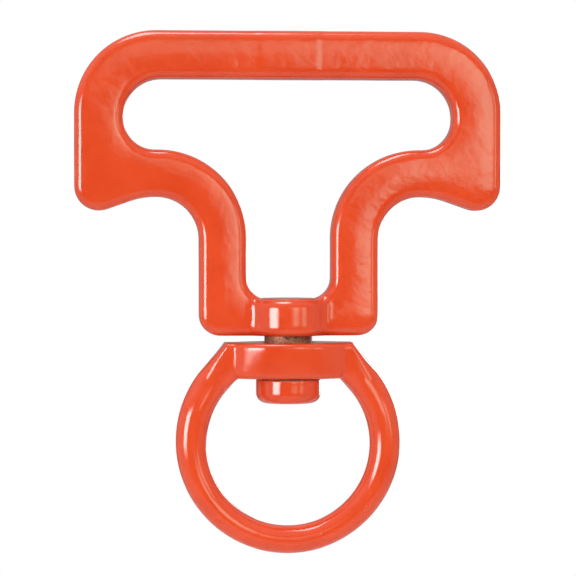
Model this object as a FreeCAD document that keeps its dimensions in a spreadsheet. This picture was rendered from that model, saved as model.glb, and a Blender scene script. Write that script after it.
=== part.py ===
import FreeCAD, Part

# Strap hanger with a swivel ring.
#
# A flat T-shaped frame carries a wide strap slot, and a narrower throat runs down from the slot to
# a bridge with a round boss. A headed rivet stands down through the boss. A round-bar ring with a
# bored bridge of its own hangs on the rivet's head, turns about it and floats up until it meets the
# frame.
#
# Frame of the model: millimetres, +Z up, X across the slot, Y through the plate. The origin is the
# middle of the slot's upper face, where a strap bears.

import math
import os
import Sketcher
from FreeCAD import Placement, Rotation, Vector

# Driving dimensions, in millimetres and degrees: cell alias, value, meaning.
DIMENSIONS = [
    ("frame_width", 71.0, "over the two ears"),
    ("top_bar", 8.0, "height of the bar above the slot"),
    ("plate", 6.0, "thickness of the flat frame"),
    ("top_corner_radius", 13.6, "outer corners of the top bar"),
    ("ear_corner_drop", 23.45, "slot face down to the ear's sharp corner"),
    ("ear_tip_radius", 4.1, "rounding of that corner"),
    ("ear_length", 11.25, "run of the ear's sloping underside"),
    ("ear_blend_radius", 12.0, "slope into the arch"),
    ("arch_drop", 19.5, "slot face down to the top of the arch"),
    ("arch_radius", 7.0, "arch into the leg"),
    ("neck_width", 29.8, "over the two legs"),
    ("bridge_bottom_drop", 42.5, "slot face down to the frame's bottom face"),
    ("foot_radius", 3.4, "outer corners of the bridge"),
    ("slot_width", 54.75, "clear width for the strap"),
    ("slot_height", 11.65, "clear height for the strap"),
    ("slot_top_radius", 6.3, "upper corners of the slot"),
    ("slot_bottom_radius", 5.1, "lower corners of the slot"),
    ("throat_width", 14.1, "between the legs"),
    ("shoulder_radius", 14.6, "slot into the throat"),
    ("throat_drop", 36.4, "slot face down to the bridge's top face"),
    ("throat_corner_radius", 3.5, "lower corners of the throat"),
    ("boss_radius", 6.5, "round boss on the bridge"),
    ("boss_blend_radius", 1.9, "boss into the plate"),
    ("frame_edge_radius", 1.45, "all edges of the frame"),
    ("shank_radius", 4.0, "rivet"),
    ("head_radius", 5.4, "rivet head"),
    ("head_height", 4.1, "rivet head"),
    ("head_bottom_radius", 1.7, "lower rim of the head"),
    ("head_top_radius", 0.35, "upper rim of the head"),
    ("upset_radius", 4.8, "countersunk upper end of the rivet"),
    ("upset_depth", 1.1, "height of that cone"),
    ("upset_rise", 0.12, "upper end above the bridge"),
    ("upset_rim_radius", 0.1, "rim of the upper end"),
    ("turning_clearance", 0.06, "radial, rivet in the frame"),
    ("ring_clearance", 0.1, "radial, ring on the rivet"),
    ("seat_clearance", 0.04, "axial, at rest, ring on the head"),
    ("float_gap", 1.1, "frame to ring, with the ring down"),
    ("bar_diameter", 5.15, "round bar, at the ring's two sides"),
    ("bar_taper", 0.5, "how much thinner the bar is at the ring's bottom"),
    ("ring_radius", 16.2, "middle of the bar"),
    ("bridge_rise", 16.7, "ring centre up to its bridge's top face"),
    ("bridge_height", 6.0, "ring's bridge"),
    ("bridge_thickness", 6.0, "ring's bridge at its ends"),
    ("bridge_top_width", 21.2, "ring's bridge along its top face"),
    ("bridge_bottom_width", 17.0, "ring's bridge along its bottom face"),
    ("barrel_half_depth", 6.6, "ring's bridge at the bore"),
    ("barrel_radius", 13.5, "curved sides of the ring's bridge"),
    ("barrel_slope", 38.0, "how far each side turns from the middle of the curve to its end"),
    ("barrel_blend_radius", 1.0, "those sides into the bridge's ends"),
    ("bridge_edge_radius", 0.9, "long edges of the ring's bridge"),
    ("shoulder_angle", 52.4, "ring's top round to where the plain bar starts"),
    ("bore_chamfer", 0.4, "both ends of the ring's bore"),
]
SHEET = "Dims"
OVERCUT = 1.0  # how far a cut runs past the face it opens on
STEP_IN = 0.04  # how far a lofted end's sides stay inside its neighbour's
BAR_STEPS = 12  # equal turns between the circles that shape the ring's bar
ROOT = -1  # a sketch's origin, and its horizontal axis
UP_AXIS = -2  # a sketch's vertical axis
START, END, CENTRE = 1, 2, 3  # the points of a line or an arc
EDGE_SPOTS = 5  # points looked at along an edge
NEAR = 1e-4


def make_sheet(doc):
    """The driving dimensions, one row each, under their aliases."""
    sheet = doc.addObject("Spreadsheet::Sheet", SHEET)
    for row, (alias, size, meaning) in enumerate(DIMENSIONS, start=1):
        sheet.set(f"A{row}", str(size))
        sheet.setAlias(f"A{row}", alias)
        sheet.set(f"B{row}", meaning)
    doc.recompute()
    return sheet


def dim(alias):
    """A reference to a cell, for use in an expression."""
    return f"{SHEET}.{alias}"


def value(obj, expression):
    """The number that an expression gives now."""
    found = obj.evalExpression(expression)
    return float(getattr(found, "Value", found))


def origin_plane(body, role):
    return next(f for f in body.Origin.OriginFeatures if f.Role == role)


def new_body(doc, name, rise="0"):
    """A body whose own origin stands at a height above the model's origin."""
    body = doc.addObject("PartDesign::Body", name)
    body.Label = name
    body.setExpression("Placement.Base.z", rise)
    doc.recompute()
    return body


def new_sketch(body, name, plane, offset=None):
    """A sketch on one of the body's planes. Offset maps placement fields to expressions."""
    sketch = body.newObject("Sketcher::SketchObject", name)
    sketch.AttachmentSupport = (origin_plane(body, plane), [""])
    sketch.MapMode = "FlatFace"
    sketch.AttachmentOffset = Placement(Vector(), Rotation(Vector(1, 0, 0), 0))
    for field, expression in (offset or {}).items():
        sketch.setExpression("AttachmentOffset." + field, expression)
    body.Document.recompute()
    return sketch


def bind(sketch, kind, arguments, expression):
    """Adds a dimension to a sketch and binds it to an expression."""
    index = sketch.addConstraint(Sketcher.Constraint(kind, *arguments, value(sketch, expression)))
    label = f"size_{index}"
    sketch.renameConstraint(index, label)
    sketch.setExpression("Constraints." + label, expression)


def place_point(sketch, kind, point, expression):
    """Holds one coordinate of a sketch point, which kind DistanceX or DistanceY names."""
    size = value(sketch, expression)
    if abs(size) < NEAR:
        axis = UP_AXIS if kind == "DistanceX" else ROOT
        sketch.addConstraint(Sketcher.Constraint("PointOnObject", *point, axis))
    elif size > 0:
        bind(sketch, kind, (ROOT, START, *point), expression)
    else:
        bind(sketch, kind, (*point, ROOT, START), f"-({expression})")


def corner_arc(before, corner, after, radius):
    """The arc that rounds a corner: its two tangent points, its centre, and whether it turns left."""
    back = (before - corner).normalize()
    onward = (after - corner).normalize()
    half = back.getAngle(onward) / 2
    reach = radius / math.tan(half)
    centre = corner + (back + onward).normalize() * (radius / math.sin(half))
    turns_left = onward.cross(back).z > 0
    return corner + back * reach, corner + onward * reach, centre, turns_left


def draw_outline(sketch, corners):
    """A closed outline with rounded corners. Each corner is (x, y, radius or None), as expressions."""
    points = [Vector(value(sketch, x), value(sketch, y), 0) for x, y, _ in corners]
    count = len(corners)
    arrive, leave, arcs = list(points), list(points), {}
    for i, (_, _, radius) in enumerate(corners):
        if radius is None:
            continue
        size = value(sketch, radius)
        onward = points[(i + 1) % count]
        arrive[i], leave[i], centre, turns_left = corner_arc(points[i - 1], points[i], onward, size)
        ends = (arrive[i], leave[i]) if turns_left else (leave[i], arrive[i])
        angles = [math.atan2(end.y - centre.y, end.x - centre.x) for end in ends]
        circle = Part.Circle(centre, Vector(0, 0, 1), size)
        arc = sketch.addGeometry(Part.ArcOfCircle(circle, *angles), False)
        arcs[i] = (arc, START if turns_left else END, END if turns_left else START)
        bind(sketch, "Radius", (arc,), radius)
    sides = []
    for i in range(count):
        sides.append(sketch.addGeometry(Part.LineSegment(leave[i], arrive[(i + 1) % count]), False))
    for i, side in enumerate(sides):
        if i in arcs:
            arc, first, last = arcs[i]
            sketch.addConstraint(Sketcher.Constraint("Tangent", sides[i - 1], END, arc, first))
            sketch.addConstraint(Sketcher.Constraint("Tangent", arc, last, side, START))
        else:
            sketch.addConstraint(Sketcher.Constraint("Coincident", sides[i - 1], END, side, START))
        hold_side(sketch, side, corners[i], corners[(i + 1) % count], points[i], points[(i + 1) % count])


def hold_side(sketch, side, corner, next_corner, point, next_point):
    """Fixes one side of an outline in place: upright, level, or through both of its sharp corners."""
    if abs(point.x - next_point.x) < NEAR:
        sketch.addConstraint(Sketcher.Constraint("Vertical", side))
        place_point(sketch, "DistanceX", (side, START), corner[0])
    elif abs(point.y - next_point.y) < NEAR:
        sketch.addConstraint(Sketcher.Constraint("Horizontal", side))
        place_point(sketch, "DistanceY", (side, START), corner[1])
    else:
        for (x, y, _), spot in ((corner, point), (next_corner, next_point)):
            mark = sketch.addGeometry(Part.Point(spot), True)
            place_point(sketch, "DistanceX", (mark, START), x)
            place_point(sketch, "DistanceY", (mark, START), y)
            sketch.addConstraint(Sketcher.Constraint("PointOnObject", mark, START, side))


def draw_circle(sketch, radius, rise="0"):
    """A circle on the sketch's vertical axis, at a height above its origin."""
    centre = Vector(0, value(sketch, rise), 0)
    circle = sketch.addGeometry(Part.Circle(centre, Vector(0, 0, 1), value(sketch, radius)), False)
    bind(sketch, "Radius", (circle,), radius)
    place_point(sketch, "DistanceX", (circle, CENTRE), "0")
    place_point(sketch, "DistanceY", (circle, CENTRE), rise)


def rectangle(half_width, half_height, radius):
    """Corners of a rounded rectangle about the sketch's origin."""
    signs = [(1, 1), (-1, 1), (-1, -1), (1, -1)]
    return [(f"{a} * ({half_width})", f"{b} * ({half_height})", radius) for a, b in signs]


def pad(body, name, sketch, length, both_ways=False):
    feature = body.newObject("PartDesign::Pad", name)
    feature.Profile = sketch
    feature.Midplane = both_ways
    feature.setExpression("Length", length)
    return settle(body, feature)


def through_pocket(body, name, sketch):
    """A hole of the sketch's outline through the whole body, both ways from the sketch."""
    feature = body.newObject("PartDesign::Pocket", name)
    feature.Profile = sketch
    feature.Type = "ThroughAll"
    feature.Midplane = True
    return settle(body, feature)


def turn(body, name, sketch, kind="Revolution"):
    """A full turn of an outline about the sketch's vertical axis, added or cut away."""
    feature = body.newObject("PartDesign::" + kind, name)
    feature.Profile = sketch
    feature.ReferenceAxis = (sketch, ["V_Axis"])
    return settle(body, feature)


def loft(body, name, first, others, ruled=False):
    """A solid through a row of outlines: straight between them if ruled, else smooth."""
    feature = body.newObject("PartDesign::AdditiveLoft", name)
    feature.Profile = first
    feature.Sections = others
    feature.Ruled = ruled
    return settle(body, feature)


def mirror(body, name, feature):
    """A copy of a feature on the other side of the YZ plane."""
    mirrored = body.newObject("PartDesign::Mirrored", name)
    mirrored.Originals = [feature]
    mirrored.MirrorPlane = (origin_plane(body, "YZ_Plane"), [""])
    return settle(body, mirrored)


def round_edges(body, name, radius, chosen):
    """Rounds the tip's edges whose every sampled point satisfies chosen."""
    feature = body.newObject("PartDesign::Fillet", name)
    feature.Base = (feature.BaseFeature, edge_names(feature.BaseFeature, chosen))
    feature.setExpression("Radius", radius)
    return settle(body, feature)


def bevel_edges(body, name, size, chosen):
    feature = body.newObject("PartDesign::Chamfer", name)
    feature.Base = (feature.BaseFeature, edge_names(feature.BaseFeature, chosen))
    feature.setExpression("Size", size)
    return settle(body, feature)


def edge_names(feature, chosen):
    """Names of a feature's edges whose every sampled point satisfies chosen, in the body's own frame."""
    names = []
    for number, edge in enumerate(feature.Shape.Edges, start=1):
        spots = edge.discretize(EDGE_SPOTS)
        if all(chosen(spot) for spot in spots):
            names.append(f"Edge{number}")
    if not names:
        raise RuntimeError(f"{feature.Name} has no edge of that kind")
    return names


def settle(body, feature):
    """Makes a new feature the body's tip and rebuilds."""
    body.Tip = feature
    body.Document.recompute()
    if feature.Shape.isNull() or not feature.isValid():
        raise RuntimeError(f"{feature.Name} did not build")
    return feature


def near(a, b):
    return abs(a - b) < NEAR


def build_frame(doc):
    """The T-shaped frame: plate, boss on the bridge, T-shaped opening, rivet hole and rounded edges."""
    body = new_body(doc, "frame")
    half = dim("frame_width") + " / 2"
    leg = dim("neck_width") + " / 2"
    bottom = "-" + dim("bridge_bottom_drop")
    arch = "-" + dim("arch_drop")
    outline = new_sketch(body, "outer_half", "XZ_Plane")
    draw_outline(outline, [
        ("0", dim("top_bar"), None),
        (half, dim("top_bar"), dim("top_corner_radius")),
        (half, "-" + dim("ear_corner_drop"), dim("ear_tip_radius")),
        (f"{half} - {dim('ear_length')}", arch, dim("ear_blend_radius")),
        (leg, arch, dim("arch_radius")),
        (leg, bottom, dim("foot_radius")),
        ("0", bottom, None),
    ])
    plate = pad(body, "half_plate", outline, dim("plate"), both_ways=True)
    mirror(body, "whole_plate", plate)

    boss = new_sketch(body, "boss_circle", "XY_Plane", {"Base.z": bottom})
    draw_circle(boss, dim("boss_radius"))
    corner_top = f"{dim('bridge_bottom_drop')} - {dim('throat_drop')} + {dim('throat_corner_radius')}"
    pad(body, "boss", boss, corner_top)

    slot = dim("slot_width") + " / 2"
    throat = dim("throat_width") + " / 2"
    slot_floor = "-" + dim("slot_height")
    bridge_top = "-" + dim("throat_drop")
    opening = new_sketch(body, "opening_half", "XZ_Plane")
    draw_outline(opening, [
        ("0", "0", None),
        (slot, "0", dim("slot_top_radius")),
        (slot, slot_floor, dim("slot_bottom_radius")),
        (throat, slot_floor, dim("shoulder_radius")),
        (throat, bridge_top, dim("throat_corner_radius")),
        ("0", bridge_top, None),
    ])
    cut = through_pocket(body, "half_opening", opening)
    mirror(body, "whole_opening", cut)

    hold_boss(body)
    cut_rivet_hole(body)
    return body


def hold_boss(body):
    """Blends the boss into the plate, then rounds the edges of the plate's two faces and of the boss."""
    face = value(body, dim("plate")) / 2
    boss = value(body, dim("boss_radius"))
    meet = math.sqrt(boss**2 - face**2)
    bridge_top = -value(body, dim("throat_drop"))
    bottom = -value(body, dim("bridge_bottom_drop"))
    corner_top = bridge_top + value(body, dim("throat_corner_radius"))
    round_edges(
        body,
        "boss_blend",
        dim("boss_blend_radius"),
        lambda p: near(abs(p.x), meet) and near(abs(p.y), face) and p.z < corner_top,
    )

    def on_rim(p):
        if near(abs(p.y), face):
            return True
        on_bridge = abs(p.y) > face and (near(p.z, bottom) or p.z > bridge_top - NEAR)
        return on_bridge and p.z < corner_top

    round_edges(body, "rounded_edges", dim("frame_edge_radius"), on_rim)


def cut_rivet_hole(body):
    """The rivet's hole, with a countersink in the bridge's top face for its upset end."""
    bore = f"({dim('shank_radius')} + {dim('turning_clearance')})"
    mouth = f"({dim('upset_radius')} + {dim('turning_clearance')})"
    bridge_top = "-" + dim("throat_drop")
    past_bottom = f"-{dim('bridge_bottom_drop')} - {OVERCUT}"
    above_top = f"{bridge_top} + {OVERCUT}"
    profile = new_sketch(body, "rivet_hole_profile", "XZ_Plane")
    draw_outline(profile, [
        ("0", past_bottom, None),
        (bore, past_bottom, None),
        (bore, f"{bridge_top} - {dim('upset_depth')}", None),
        (mouth, bridge_top, None),
        (mouth, above_top, None),
        ("0", above_top, None),
    ])
    turn(body, "rivet_hole", profile, kind="Groove")


def build_rivet(doc):
    """The headed rivet. Its own origin is the middle of the head's upper face, where the ring sits."""
    stand = f"{dim('float_gap')} + {dim('bridge_height')} + {dim('seat_clearance')}"
    body = new_body(doc, "swivel_pin", f"-({dim('bridge_bottom_drop')} + {stand})")
    bridge_top = f"{stand} + {dim('bridge_bottom_drop')} - {dim('throat_drop')}"
    head_bottom = "-" + dim("head_height")
    profile = new_sketch(body, "rivet_profile", "XZ_Plane")
    draw_outline(profile, [
        ("0", head_bottom, None),
        (dim("head_radius"), head_bottom, dim("head_bottom_radius")),
        (dim("head_radius"), "0", dim("head_top_radius")),
        (dim("shank_radius"), "0", None),
        (dim("shank_radius"), f"{bridge_top} - {dim('upset_depth')}", None),
        (dim("upset_radius"), bridge_top, None),
        (dim("upset_radius"), f"{bridge_top} + {dim('upset_rise')}", dim("upset_rim_radius")),
        ("0", f"{bridge_top} + {dim('upset_rise')}", None),
    ])
    turn(body, "rivet", profile)
    return body


def build_ring(doc):
    """The round-bar ring with its bored bridge. Its own origin is the ring's centre."""
    drop = f"{dim('bridge_bottom_drop')} + {dim('float_gap')} + {dim('bridge_rise')}"
    body = new_body(doc, "swivel_ring", f"-({drop})")
    top = dim("bridge_rise")
    bottom = f"({top} - {dim('bridge_height')})"
    half_top = dim("bridge_top_width") + " / 2"
    half_bottom = dim("bridge_bottom_width") + " / 2"
    plan = new_sketch(body, "bridge_plan", "XY_Plane", {"Base.z": bottom})
    draw_outline(plan, bridge_corners(half_top))
    pad(body, "bridge", plan, dim("bridge_height"))
    trim_bridge(body, top, bottom, half_top, half_bottom)
    round_bridge(body)
    circles = bar_circles(body)
    add_shoulders(body, top, bottom, half_top, half_bottom, circles[0])
    loft(body, "bar", circles[0], circles[1:])
    bore_bridge(body, bottom)
    return body


def bar_circles(body):
    """Circles square to the bar's middle line, evenly round the ring from one shoulder to the other."""
    start = dim("shoulder_angle")
    circles = []
    for step in range(BAR_STEPS + 1):
        angle = f"({start} + {step} * 2 * (180 - {start}) / {BAR_STEPS})"
        circle = new_sketch(body, f"bar_circle_{step}", "YZ_Plane", {
            "Base.y": f"{dim('ring_radius')} * cos({angle})",
            "Base.z": f"{dim('ring_radius')} * sin({angle})",
            "Rotation.Angle": angle,
        })
        draw_circle(circle, f"({dim('bar_diameter')} + {dim('bar_taper')} * cos({angle})) / 2")
        circles.append(circle)
    return circles


def bridge_corners(half_length):
    """The bridge seen from above: narrow straight ends and a wide curved swelling round the bore."""
    side = dim("bridge_thickness") + " / 2"
    swell = dim("barrel_radius")
    slope = dim("barrel_slope")
    peak = f"({dim('barrel_half_depth')} + {swell} * (1 / cos({slope}) - 1))"
    foot = f"({peak} - {side}) / tan({slope})"
    blend = dim("barrel_blend_radius")
    return [
        (half_length, side, None),
        (foot, side, blend),
        ("0", peak, swell),
        ("-" + foot, side, blend),
        ("-" + half_length, side, None),
        ("-" + half_length, "-" + side, None),
        ("-" + foot, "-" + side, blend),
        ("0", "-" + peak, swell),
        (foot, "-" + side, blend),
        (half_length, "-" + side, None),
    ]


def trim_bridge(body, top, bottom, half_top, half_bottom):
    """Slopes the bridge's two ends, so that its bottom face is shorter than its top face."""
    past = f"{half_top} + {OVERCUT}"
    wedge = new_sketch(body, "end_wedge", "XZ_Plane")
    draw_outline(wedge, [
        (half_bottom, bottom, None),
        (past, bottom, None),
        (past, top, None),
        (half_top, top, None),
    ])
    cut = through_pocket(body, "sloping_end", wedge)
    mirror(body, "sloping_ends", cut)


def round_bridge(body):
    """Rounds the bridge's long edges, top and bottom."""
    side = value(body, dim("bridge_thickness")) / 2
    top = value(body, dim("bridge_rise"))
    bottom = top - value(body, dim("bridge_height"))
    round_edges(
        body,
        "bridge_edges",
        dim("bridge_edge_radius"),
        lambda p: abs(p.y) > side - NEAR and (near(p.z, top) or near(p.z, bottom)),
    )


def bore_bridge(body, bottom):
    """The hole for the rivet, upward through the bridge only, chamfered at both ends."""
    radius = f"{dim('shank_radius')} + {dim('ring_clearance')}"
    circle = new_sketch(body, "bore_circle", "XY_Plane", {"Base.z": bottom})
    draw_circle(circle, radius)
    bore = body.newObject("PartDesign::Pocket", "bore")
    bore.Profile = circle
    bore.Reversed = True
    bore.setExpression("Length", dim("bridge_height"))
    settle(body, bore)
    size = value(body, radius)
    bevel_edges(
        body,
        "bore_mouths",
        dim("bore_chamfer"),
        lambda p: p.z > 0 and near(math.hypot(p.x, p.y), size),
    )


def add_shoulders(body, top, bottom, half_top, half_bottom, small):
    """The tapers from the bridge's sloping ends down to the round bar, one lofted and one mirrored.

    Each starts on the bridge's sloping end, a little narrower than it, and ends on the bar's end circle.
    """
    run = f"({half_top} - {half_bottom})"
    tilt = f"atan({run} / {dim('bridge_height')})"
    large = new_sketch(body, "shoulder_large_end", "YZ_Plane", {
        "Base.y": f"({top} + {bottom}) / 2",
        "Base.z": f"({half_top} + {half_bottom}) / 2",
        "Rotation.Angle": tilt,
    })
    half_slant = f"sqrt({run} ^ 2 + {dim('bridge_height')} ^ 2) / 2 - {STEP_IN}"
    half_side = f"{dim('bridge_thickness')} / 2 - {STEP_IN}"
    draw_outline(large, rectangle(half_side, half_slant, dim("bridge_edge_radius")))
    shoulder = loft(body, "shoulder", large, [small], ruled=True)
    mirror(body, "both_shoulders", shoulder)


def check(doc, bodies):
    """Stops if an object failed to rebuild, a sketch is loose, or a piece isn't one valid closed solid."""
    for item in doc.Objects:
        if "Invalid" in item.State or "Error" in item.State:
            raise RuntimeError(f"{item.Name} failed: {item.State}")
        if item.isDerivedFrom("Sketcher::SketchObject") and not item.FullyConstrained:
            raise RuntimeError(f"sketch {item.Name} is not fully constrained")
    for body in bodies:
        shape = body.Shape
        if shape.isNull() or not shape.isValid() or len(shape.Solids) != 1:
            raise RuntimeError(f"{body.Label} is not one valid solid")


def main():
    doc = FreeCAD.newDocument("strap_hanger")
    make_sheet(doc)
    bodies = [build_frame(doc), build_rivet(doc), build_ring(doc)]
    doc.recompute()
    check(doc, bodies)
    os.makedirs("parts", exist_ok=True)
    for body in bodies:
        body.Shape.exportStep(f"parts/{body.Label}.step")
        box = body.Shape.BoundBox
        print(f"{body.Label}: {body.Shape.Volume:.1f} mm3, z {box.ZMin:.2f} to {box.ZMax:.2f}")


main()
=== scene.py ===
"""Looks of the swivel ring strap hanger: three enamelled steel pieces in a bright studio.

Pieces are shaped in millimetres and stored in metres, in the frame's own axes: +Z up, Y through the plate.
"""

import math

import bpy
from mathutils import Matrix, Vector, kdtree, noise


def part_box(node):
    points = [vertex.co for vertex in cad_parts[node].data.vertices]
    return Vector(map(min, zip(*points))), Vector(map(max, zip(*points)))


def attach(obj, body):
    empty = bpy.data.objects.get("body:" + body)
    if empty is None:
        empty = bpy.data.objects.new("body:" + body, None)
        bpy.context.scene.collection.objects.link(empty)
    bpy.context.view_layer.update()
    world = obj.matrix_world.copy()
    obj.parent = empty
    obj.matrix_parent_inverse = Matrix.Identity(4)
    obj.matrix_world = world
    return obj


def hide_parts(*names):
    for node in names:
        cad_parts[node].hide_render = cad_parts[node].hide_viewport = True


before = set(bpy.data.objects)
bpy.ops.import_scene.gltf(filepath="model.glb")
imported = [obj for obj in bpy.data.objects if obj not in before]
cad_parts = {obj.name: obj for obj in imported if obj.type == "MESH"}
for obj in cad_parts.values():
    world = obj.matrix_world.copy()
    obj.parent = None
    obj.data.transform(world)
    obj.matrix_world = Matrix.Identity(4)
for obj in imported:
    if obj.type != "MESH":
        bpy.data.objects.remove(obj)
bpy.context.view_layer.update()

MM = 0.001

# Shapes, in millimetres.
PLATE_FACE = 3.0  # half the plate's thickness
FRAME_VOXEL = 0.24
RING_VOXEL = 0.2
RIVET_VOXEL = 0.14
SMOOTH_PASSES = 6
RING_SMOOTH_PASSES = 4
CROWN_DROP = 0.26  # how much thinner each face of a limb is at its edge than along its middle
CROWN_REACH = 4.3  # half the width of a limb
EAR_DROP = 0.4  # how much thinner each face of an ear is at its tip
EAR_TOP = -4.0  # the thinning starts at this height
EAR_INNER = 20.0  # an ear is what lies further out than this
EAR_BLEND = 4.0  # the thinning starts this far inside it
BOSS_BLEND = 0.8  # the swelling dies out this far up the boss
BOSS_FILLET = 3.0  # radius to which enamel fills the inside corners between boss and plate
FILLET_EXCESS = 1.5  # the corners are filled by less than this
FILLET_LOW = (-42.5, -40.9)  # the filling fades out between these heights, below
FILLET_HIGH = (-37.6, -36.2)  # and above
BRIDGE_LEAN = 0.85  # how far the sides of the ring's bridge draw in towards its bottom
BRIDGE_HEIGHT = 6.0
BRIDGE_BORE = 0.6  # the lean starts to act this far outside the shank
SHANK_RADIUS = 4.0
HEAD_HEIGHT = 4.1
UPSET_HEIGHT = 1.3
RING_PITTING = 0.5  # the ring's lumps and peel, as a share of the depths below
LUMP_DEPTH = 0.03
LUMP_LENGTH = 5.0
PEEL_DEPTH = 0.006
PEEL_LENGTH = 1.3
NOISE_OFFSET = Vector((31.0, 17.0, 53.0))
FIT_ZONE = 1.0  # lumps fade out this close to the swivel's working surfaces
BORE_WALL = 5.2  # points nearer the axis than this count as the wall of a bore
BORE_EASE = 0.09  # how far they stand back, so that the remeshed shank turns free of them

# Enamel and steel, as linear colours.
ENAMEL = (0.80, 0.078, 0.021)
ENAMEL_DEEP = (0.75, 0.066, 0.016)
ENAMEL_THIN = (0.81, 0.095, 0.034)
STEEL_BROWN = (0.27, 0.085, 0.038)
STEEL_PALE = (0.42, 0.17, 0.085)
STEEL_DARK = (0.055, 0.022, 0.012)

# Unevenness of the enamel, in millimetres.
RIPPLE_DEPTH = 0.065  # on the plate's two faces
RIPPLE_LENGTH = 2.4
GRAIN_DEPTH = 0.018
GRAIN_LENGTH = 0.8
SPECK = (0.16, 0.02, 0.008)
SPECK_SPACING = 2.6
SPECK_SHARE = 0.12
SPECK_RADIUS = 0.13
SPECK_CORE = 0.6  # the share of the radius over which a speck is at its full strength
SPECK_STRENGTH = 0.8
COAT_PEEL = (1.0, 0.006)  # feature length and depth of the orange peel in the enamel
COAT_FINE = (0.35, 0.0015)  # and of the finer unevenness in its clear coat
BORDER_DROP = 0.2  # the head's enamel stops this far below the head's top
BORDER_RAGGED = 0.9  # how much that border wanders

# Camera: where it looks from, and how wide a view it takes at the object.
CAMERA_AZIMUTH = -5.0
CAMERA_ELEVATION = 1.2
CAMERA_DISTANCE = 417.0
VIEW_WIDTH = 95.85
VIEW_CENTRE = (-0.05, 0.0, -34.6)
SENSOR = 36.0

FILL_TINT = (0.45, 1.0, 0.8)  # keeps the enamel's red from rising in the fill lights' sheen
CLIP_METRES = (0.01, 20.0)
FLOOR_DROP = 80.0  # the hanger hangs this far above the floor
FLOOR_RADIUS = 3000.0
FLOOR_SIDES = 96
FLOOR_FADE = (150.0, 450.0)  # the floor thins out to nothing between these distances


def box_mm(node):
    low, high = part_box(node)
    return low / MM, high / MM


# --- shapes ---------------------------------------------------------------------------------------


def settle(piece):
    """Applies a piece's modifiers to its mesh."""
    graph = bpy.context.evaluated_depsgraph_get()
    mesh = bpy.data.meshes.new_from_object(piece.evaluated_get(graph))
    piece.modifiers.clear()
    piece.data = mesh


def cast(name, node, voxel, passes=SMOOTH_PASSES):
    """An evenly remeshed copy of a CAD node, in millimetres, with its edges eased as enamel eases them."""
    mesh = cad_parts[node].data.copy()
    mesh.materials.clear()
    for vertex in mesh.vertices:
        vertex.co /= MM
    piece = bpy.data.objects.new(name, mesh)
    bpy.context.scene.collection.objects.link(piece)
    remesh = piece.modifiers.new("even", "REMESH")
    remesh.mode = "VOXEL"
    remesh.voxel_size = voxel
    ease = piece.modifiers.new("ease", "SMOOTH")
    ease.factor = 0.5
    ease.iterations = passes
    settle(piece)
    return piece


def fill_corners(piece):
    """Rounds out the four inside corners where the boss meets the plate's faces."""
    boss = box_mm("frame")[1].y
    reach = boss + BOSS_FILLET
    centre_y = PLATE_FACE + BOSS_FILLET
    centre_x = math.sqrt(reach * reach - centre_y * centre_y)
    for vertex in piece.data.vertices:
        spot = vertex.co
        across = Vector((abs(spot.x) - centre_x, abs(spot.y) - centre_y))
        excess = across.length - BOSS_FILLET
        in_arc = across.x < 0 and across.y < 0 and across.x * centre_y > across.y * centre_x
        if in_arc and 0 < excess < FILLET_EXCESS:
            share = ramp(spot.z, *FILLET_LOW) * (1.0 - ramp(spot.z, *FILLET_HIGH))
            move = across.normalized() * excess * share
            spot.x -= math.copysign(1.0, spot.x) * move.x
            spot.y -= math.copysign(1.0, spot.y) * move.y


def finish_shape(piece, body, node):
    """Back to metres, smooth shaded, in place of its CAD node."""
    for vertex in piece.data.vertices:
        vertex.co *= MM
    for polygon in piece.data.polygons:
        polygon.use_smooth = True
    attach(piece, body)
    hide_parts(node)


def crown_limbs(piece):
    """Swells both flat faces along the middle of every limb, by thinning them towards the limb's edges."""
    half_plate = max(v.co.y for v in piece.data.vertices if v.co.z > 0)
    walls = [v.co for v in piece.data.vertices if abs(v.co.y) < FRAME_VOXEL and abs(v.normal.y) < 0.5]
    tree = kdtree.KDTree(len(walls))
    for index, spot in enumerate(walls):
        tree.insert((spot.x, 0.0, spot.z), index)
    tree.balance()
    for vertex in piece.data.vertices:
        spot = vertex.co
        _, _, reach = tree.find((spot.x, 0.0, spot.z))
        rise = max(0.0, 1.0 - reach / CROWN_REACH) ** 2
        on_plate = 1.0 - ramp(abs(spot.y), half_plate, half_plate + BOSS_BLEND)
        vertex.co.y -= spot.y / half_plate * CROWN_DROP * rise * on_plate


def draw_ears(piece):
    """Thins both ears towards their tips, as a hammer draws them."""
    tip = box_mm("frame")[1].x
    low = min(v.co.z for v in piece.data.vertices if abs(v.co.x) > EAR_INNER)
    for vertex in piece.data.vertices:
        spot = vertex.co
        out = ramp(abs(spot.x), EAR_INNER - EAR_BLEND, (EAR_INNER + tip) / 2)
        down = min(1.0, max(0.0, (EAR_TOP - spot.z) / (EAR_TOP - low))) ** 2
        spot.y -= spot.y / PLATE_FACE * EAR_DROP * out * down


def pit(piece, fade, depth=1.0):
    """Sinks the skin in soft lumps and a finer orange peel, by that share of their depths.

    fade(spot) is 1 where the skin may sink in full, and 0 where it may not.
    """
    moves = []
    for vertex in piece.data.vertices:
        spot = vertex.co
        amount = depth * fade(spot)
        lump = 0.5 + 0.5 * noise.noise(spot / LUMP_LENGTH + NOISE_OFFSET)
        peel = 0.5 + 0.5 * noise.noise(spot / PEEL_LENGTH + NOISE_OFFSET)
        moves.append(-vertex.normal * amount * (LUMP_DEPTH * lump + PEEL_DEPTH * peel))
    for vertex, move in zip(piece.data.vertices, moves):
        vertex.co += move


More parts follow.
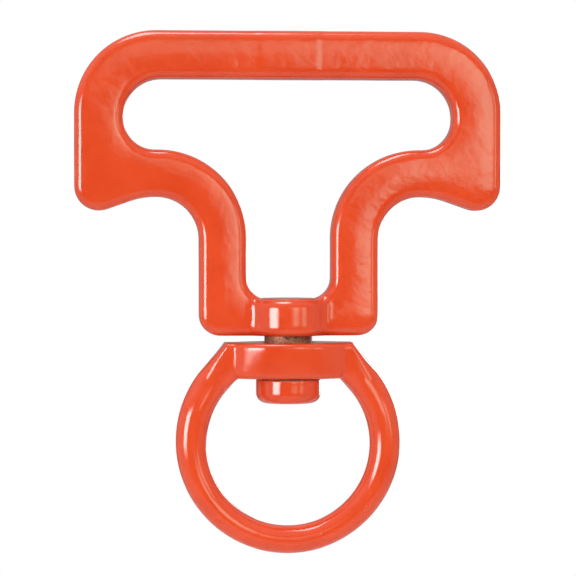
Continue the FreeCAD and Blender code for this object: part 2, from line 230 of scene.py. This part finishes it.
def lean_bridge(piece):
    """Draws the sides of the ring's bridge in towards its bottom, and the shoulders below to match.

    The bore keeps its shape.
    """
    _, high = box_mm("swivel_ring")
    off_bore = away_from_shaft(SHANK_RADIUS + BRIDGE_BORE)
    for vertex in piece.data.vertices:
        spot = vertex.co
        drop = max(0.0, (high.z - spot.z) / BRIDGE_HEIGHT)
        share = min(1.0, (2 * drop + drop * drop) / 3) * (1.0 - ramp(drop, 1.0, 2.0))
        spot.y -= spot.y / high.y * BRIDGE_LEAN * share * off_bore(spot)


def ease_bore(piece):
    """Stands a bore's wall back from the swivel axis.

    Known fault: it acts at every height, so it also swells the faces of the top bar and of the ring's bottom
    by BORE_EASE where those cross the axis. It shows as a pale band on the bar.
    """
    for vertex in piece.data.vertices:
        spot = vertex.co
        reach = math.hypot(spot.x, spot.y)
        if reach > 0:
            push = BORE_EASE * (1.0 - ramp(reach, BORE_WALL, BORE_WALL + FIT_ZONE)) / reach
            spot.x += spot.x * push
            spot.y += spot.y * push


def ramp(value, start, end):
    """0 before start, 1 after end, smooth between."""
    share = min(1.0, max(0.0, (value - start) / (end - start)))
    return share * share * (3.0 - 2.0 * share)


def away_from_shaft(radius):
    """1 outside the swivel shaft's working zone, fading to 0 at its surface."""
    return lambda spot: ramp(math.hypot(spot.x, spot.y), radius, radius + FIT_ZONE)


# --- materials ------------------------------------------------------------------------------------


class Nodes:
    """Adds and links the shader nodes of a material, world or lamp."""

    def __init__(self, owner):
        owner.use_nodes = True
        self.tree = owner.node_tree
        self.tree.nodes.clear()

    def add(self, kind, settings=None, **inputs):
        node = self.tree.nodes.new(kind)
        for key, setting in (settings or {}).items():
            setattr(node, key, setting)
        for key, given in inputs.items():
            self.feed(node, key.replace("_", " "), given)
        return node

    def feed(self, node, socket, given):
        if isinstance(given, bpy.types.NodeSocket):
            self.tree.links.new(given, node.inputs[socket])
        else:
            node.inputs[socket].default_value = given

    def millimetres(self):
        """Object coordinates in millimetres."""
        place = self.add("ShaderNodeTexCoord")
        scale = self.add("ShaderNodeVectorMath", {"operation": "SCALE"})
        self.feed(scale, "Vector", place.outputs["Object"])
        self.feed(scale, "Scale", 1.0 / MM)
        return scale.outputs["Vector"]

    def noise(self, place, length, detail=2.0, rough=0.5):
        """Noise of a given feature length, from 0 to 1."""
        node = self.add(
            "ShaderNodeTexNoise", Vector=place, Scale=1.0 / length, Detail=detail, Roughness=rough
        )
        return node.outputs["Fac"]

    def remap(self, given, low, high, to_low=0.0, to_high=1.0):
        node = self.add("ShaderNodeMapRange", {"interpolation_type": "SMOOTHSTEP"}, Value=given)
        self.feed(node, "From Min", low)
        self.feed(node, "From Max", high)
        self.feed(node, "To Min", to_low)
        self.feed(node, "To Max", to_high)
        return node.outputs["Result"]

    def math(self, operation, *given):
        node = self.add("ShaderNodeMath", {"operation": operation})
        for index, item in enumerate(given):
            self.feed(node, index, item)
        return node.outputs[0]

    def blend(self, share, first, second):
        node = self.add("ShaderNodeMix", {"data_type": "RGBA"})
        self.feed(node, 0, share)
        self.feed(node, 6, first)
        self.feed(node, 7, second)
        return node.outputs[2]

    def bump(self, height, depth, normal=None):
        """A bump whose full height is depth, in millimetres."""
        node = self.add("ShaderNodeBump", Height=height, Strength=1.0, Distance=depth * MM)
        if normal is not None:
            self.feed(node, "Normal", normal)
        return node.outputs["Normal"]

    def output(self, shader):
        out = self.add("ShaderNodeOutputMaterial")
        self.tree.links.new(shader, out.inputs["Surface"])


def rgba(colour):
    return (*colour, 1.0)


def plate_face(n, place):
    """1 on the plate's two broad faces, 0 on its rounded edges and on the boss."""
    depth = n.math("ABSOLUTE", n.add("ShaderNodeSeparateXYZ", Vector=place).outputs["Y"])
    normal = n.add("ShaderNodeNewGeometry").outputs["Normal"]
    way = n.add("ShaderNodeSeparateXYZ", Vector=normal).outputs["Y"]
    square = n.remap(n.math("ABSOLUTE", way), 0.93, 0.98)
    return n.math("MULTIPLY", square, n.remap(depth, PLATE_FACE + 0.3, PLATE_FACE))


def specks(n, place):
    """1 in a few small round specks, 0 elsewhere."""
    cells = n.add("ShaderNodeTexVoronoi", Vector=place, Scale=1.0 / SPECK_SPACING)
    chance = n.add("ShaderNodeSeparateColor", Color=cells.outputs["Color"]).outputs["Red"]
    chosen = n.math("GREATER_THAN", chance, 1.0 - SPECK_SHARE)
    reach = n.math("MULTIPLY", cells.outputs["Distance"], SPECK_SPACING)
    inside = n.remap(reach, SPECK_RADIUS, SPECK_RADIUS * SPECK_CORE, 0.0, SPECK_STRENGTH)
    return n.math("MULTIPLY", chosen, inside)


def enamel_shader(n, place, flat=0.0):
    """Thick gloss enamel: soft drifts of tone, thinner colour on edges, orange peel under a clear gloss.

    Flat is 1 where the enamel lies on a broad flat, which it covers in broad ripples and grain.
    """
    drift = n.remap(n.noise(place, 6.0, 3.0), 0.35, 0.7)
    tone = n.blend(drift, rgba(ENAMEL), rgba(ENAMEL_DEEP))
    edge = n.add("ShaderNodeNewGeometry").outputs["Pointiness"]
    colour = n.blend(n.remap(edge, 0.52, 0.62, 0.0, 0.6), tone, rgba(ENAMEL_THIN))
    colour = n.blend(specks(n, place), colour, rgba(SPECK))
    ripple = n.math("MULTIPLY", n.noise(place, RIPPLE_LENGTH, 1.5, 0.5), flat)
    grain = n.math("MULTIPLY", n.noise(place, GRAIN_LENGTH, 1.5, 0.5), flat)
    uneven = n.bump(grain, GRAIN_DEPTH, n.bump(ripple, RIPPLE_DEPTH))
    peel_length, peel_depth = COAT_PEEL
    peel = n.bump(n.noise(place, peel_length, 1.0, 0.4), peel_depth, uneven)
    fine_length, fine_depth = COAT_FINE
    fine = n.bump(n.noise(place, fine_length, 1.0, 0.5), fine_depth, peel)
    patches = n.noise(place, 2.0, 2.0)
    shader = n.add("ShaderNodeBsdfPrincipled")
    n.feed(shader, "Base Color", colour)
    n.feed(shader, "Roughness", n.remap(patches, 0.3, 0.7, 0.38, 0.5))
    n.feed(shader, "Specular IOR Level", 0.0)
    n.feed(shader, "Coat Weight", 1.0)
    n.feed(shader, "Coat Roughness", n.remap(patches, 0.3, 0.7, 0.04, 0.10))
    n.feed(shader, "Normal", peel)
    n.feed(shader, "Coat Normal", fine)
    return shader.outputs["BSDF"]


def steel_shader(n, place):
    """Bare steel that has browned: grainy, part rust and part rubbed metal."""
    grain = n.noise(place, 0.32, 3.0, 0.65)
    cloud = n.noise(place, 1.1, 2.0)
    colour = n.blend(n.remap(grain, 0.4, 0.62), rgba(STEEL_BROWN), rgba(STEEL_PALE))
    colour = n.blend(n.remap(cloud, 0.5, 0.7, 0.0, 0.7), colour, rgba(STEEL_DARK))
    shader = n.add("ShaderNodeBsdfPrincipled")
    n.feed(shader, "Base Color", colour)
    n.feed(shader, "Metallic", 0.35)
    n.feed(shader, "Roughness", n.remap(grain, 0.3, 0.7, 0.65, 0.42))
    n.feed(shader, "Normal", n.bump(grain, 0.03))
    return shader.outputs["BSDF"]


def enamel_material(name, has_flats=False):
    material = bpy.data.materials.new(name)
    n = Nodes(material)
    place = n.millimetres()
    n.output(enamel_shader(n, place, plate_face(n, place) if has_flats else 0.0))
    return material


def rivet_material(name, head_top, upset_bottom):
    """Enamel on the head and the upset end, bare steel between them, with ragged borders and chips."""
    material = bpy.data.materials.new(name)
    n = Nodes(material)
    place = n.millimetres()
    height = n.add("ShaderNodeSeparateXYZ", Vector=place).outputs["Z"]
    ragged = n.math("MULTIPLY", n.math("SUBTRACT", n.noise(place, 0.5, 3.0), 0.5), BORDER_RAGGED)
    edge = n.math("ADD", height, ragged)
    above_head = n.math("GREATER_THAN", edge, head_top - BORDER_DROP)
    below_upset = n.math("LESS_THAN", edge, upset_bottom)
    bare = n.math("MULTIPLY", above_head, below_upset)
    mix = n.add("ShaderNodeMixShader", Fac=bare)
    n.tree.links.new(enamel_shader(n, place), mix.inputs[1])
    n.tree.links.new(steel_shader(n, place), mix.inputs[2])
    n.output(mix.outputs[0])
    return material


# --- pieces ---------------------------------------------------------------------------------------


def build_pieces():
    head_low, rivet_high = box_mm("swivel_pin")
    head_radius = rivet_high.x
    head_top = head_low.z + HEAD_HEIGHT
    upset_bottom = rivet_high.z - UPSET_HEIGHT

    plate = cast("frame_plate", "frame", FRAME_VOXEL)
    fill_corners(plate)
    crown_limbs(plate)
    draw_ears(plate)
    pit(plate, away_from_shaft(head_radius))
    ease_bore(plate)
    finish_shape(plate, "frame", "frame")
    plate.data.materials.append(enamel_material("frame_enamel", has_flats=True))

    ring = cast("ring_forging", "swivel_ring", RING_VOXEL, passes=RING_SMOOTH_PASSES)
    lean_bridge(ring)
    pit(ring, away_from_shaft(SHANK_RADIUS), depth=RING_PITTING)
    ease_bore(ring)
    finish_shape(ring, "swivel_ring", "swivel_ring")
    ring.data.materials.append(enamel_material("ring_enamel"))

    rivet = cast("rivet", "swivel_pin", RIVET_VOXEL)
    pit(rivet, lambda spot: 1.0 - ramp(spot.z, head_top - FIT_ZONE, head_top))
    finish_shape(rivet, "swivel_pin", "swivel_pin")
    rivet.data.materials.append(rivet_material("rivet_finish", head_top, upset_bottom))


# --- studio ---------------------------------------------------------------------------------------


def studio_world():
    """Pale to the camera. To the object: dim in front, brighter above and to both sides, a little behind."""
    world = bpy.data.worlds.new("studio")
    bpy.context.scene.world = world
    n = Nodes(world)
    way = n.add("ShaderNodeSeparateXYZ", Vector=n.add("ShaderNodeTexCoord").outputs["Generated"])
    x, y, z = (way.outputs[axis] for axis in "XYZ")
    total = 0.04
    for axis, start, end, level in (
        (x, -0.45, -0.95, 0.7),
        (x, 0.6, 0.98, 0.45),
        (y, 0.80, 0.96, 0.25),
        (z, 0.25, 0.8, 0.75),
        (z, -0.3, -0.95, 0.12),
    ):
        share = n.remap(axis, start, end, 0.0, level)
        total = n.math("ADD", total, share)
    seen = n.add("ShaderNodeLightPath").outputs["Is Camera Ray"]
    strength = n.add("ShaderNodeMix", {"data_type": "FLOAT"})
    n.feed(strength, 0, seen)
    n.feed(strength, 2, total)
    n.feed(strength, 3, 1.0)
    background = n.add("ShaderNodeBackground", Color=(1.0, 1.0, 1.0, 1.0), Strength=strength.outputs[0])
    out = n.add("ShaderNodeOutputWorld")
    n.tree.links.new(background.outputs[0], out.inputs["Surface"])


def floor():
    """A plain pale floor, well below the hanger, that fades into the pale surroundings."""
    low = box_mm("swivel_ring")[0]
    height = (low.z - FLOOR_DROP) * MM
    radius = FLOOR_RADIUS * MM
    turns = [2 * math.pi * k / FLOOR_SIDES for k in range(FLOOR_SIDES)]
    rim = [(radius * math.cos(t), radius * math.sin(t), height) for t in turns]
    mesh = bpy.data.meshes.new("floor")
    mesh.from_pydata(rim, [], [list(range(FLOOR_SIDES))])
    piece = bpy.data.objects.new("floor", mesh)
    bpy.context.scene.collection.objects.link(piece)
    material = bpy.data.materials.new("pale_floor")
    n = Nodes(material)
    place = n.millimetres()
    spread = n.add("ShaderNodeVectorMath", {"operation": "LENGTH"}, Vector=place).outputs["Value"]
    mix = n.add("ShaderNodeMixShader", Fac=n.remap(spread, *FLOOR_FADE))
    diffuse = n.add("ShaderNodeBsdfDiffuse", Color=(0.8, 0.8, 0.8, 1.0))
    clear = n.add("ShaderNodeBsdfTransparent")
    n.tree.links.new(diffuse.outputs[0], mix.inputs[1])
    n.tree.links.new(clear.outputs[0], mix.inputs[2])
    n.output(mix.outputs[0])
    mesh.materials.append(material)


def direction(azimuth, elevation):
    """The way from the object at that azimuth, to the right of straight in front, and elevation."""
    a, e = math.radians(azimuth), math.radians(elevation)
    return Vector((math.sin(a) * math.cos(e), -math.cos(a) * math.cos(e), math.sin(e)))


def softbox(
    name, azimuth, elevation, distance, width, height, radiance, soft=(0.0, 0.0), only=None, tint=(1, 1, 1)
):
    """A soft rectangular light that faces the object, sized in millimetres.

    Soft is the shares of its width and height, at each side, over which it dims to nothing. With only set to
    "gloss" it shows in reflections alone, and with "wash" it doesn't show in them.
    """
    lamp = bpy.data.lights.new(name, "AREA")
    lamp.shape = "RECTANGLE"
    lamp.size = width * MM
    lamp.size_y = height * MM
    lamp.energy = radiance * math.pi * lamp.size * lamp.size_y
    lamp.color = tint
    piece = bpy.data.objects.new(name, lamp)
    bpy.context.scene.collection.objects.link(piece)
    way = direction(azimuth, elevation)
    piece.location = (Vector(VIEW_CENTRE) + way * distance) * MM
    piece.rotation_euler = way.to_track_quat("Z", "Y").to_euler()
    piece.visible_camera = False
    piece.visible_diffuse = only != "gloss"
    piece.visible_glossy = only != "wash"
    if any(soft):
        soften(lamp, soft)


def soften(lamp, soft):
    """Dims a lamp smoothly towards its sides."""
    n = Nodes(lamp)
    across = n.add("ShaderNodeSeparateXYZ", Vector=n.add("ShaderNodeNewGeometry").outputs["Parametric"])
    glow = 1.0
    for axis, share in zip("XY", soft):
        place = across.outputs[axis]
        glow = n.math("MULTIPLY", glow, n.remap(place, 0.0, share))
        glow = n.math("MULTIPLY", glow, n.remap(place, 1.0, 1.0 - share))
    shader = n.add("ShaderNodeEmission", Strength=glow)
    out = n.add("ShaderNodeOutputLight")
    n.tree.links.new(shader.outputs[0], out.inputs["Surface"])


def lights():
    softbox("key", -48, 0, 650, 400, 372, 17.0, soft=(0.3, 0.35), only="gloss")
    softbox("overhead", -45, 76, 650, 400, 400, 11.5, soft=(0.3, 0.3), only="gloss")
    softbox("fill_near", 18, 6, 1500, 917, 750, 4.45, soft=(0.5, 0.3), only="gloss", tint=FILL_TINT)
    softbox("fill_far", 43, 5, 1500, 640, 720, 3.2, soft=(0.45, 0.3), only="gloss", tint=FILL_TINT)
    softbox("front_high", 0, 12, 900, 420, 320, 1.5, soft=(0.5, 0.5), only="gloss", tint=FILL_TINT)
    softbox("wash_left", -36, 14, 900, 700, 600, 2.98, only="wash")
    softbox("wash_right", 35, 14, 900, 700, 600, 2.72, only="wash")
    softbox("back_key", 150, 4, 650, 300, 400, 5.0, soft=(0.3, 0.3), only="gloss")
    softbox("back_wash", 180, 14, 900, 900, 600, 3.0, only="wash")


def camera():
    data = bpy.data.cameras.new("camera")
    data.sensor_width = SENSOR
    data.lens = SENSOR * CAMERA_DISTANCE / VIEW_WIDTH
    data.clip_start, data.clip_end = CLIP_METRES
    piece = bpy.data.objects.new("camera", data)
    bpy.context.scene.collection.objects.link(piece)
    way = direction(CAMERA_AZIMUTH, CAMERA_ELEVATION)
    piece.location = (Vector(VIEW_CENTRE) + way * CAMERA_DISTANCE) * MM
    piece.rotation_euler = way.to_track_quat("Z", "Y").to_euler()
    bpy.context.scene.camera = piece


build_pieces()
studio_world()
floor()
lights()
camera()
bpy.context.scene.view_settings.view_transform = "Standard"
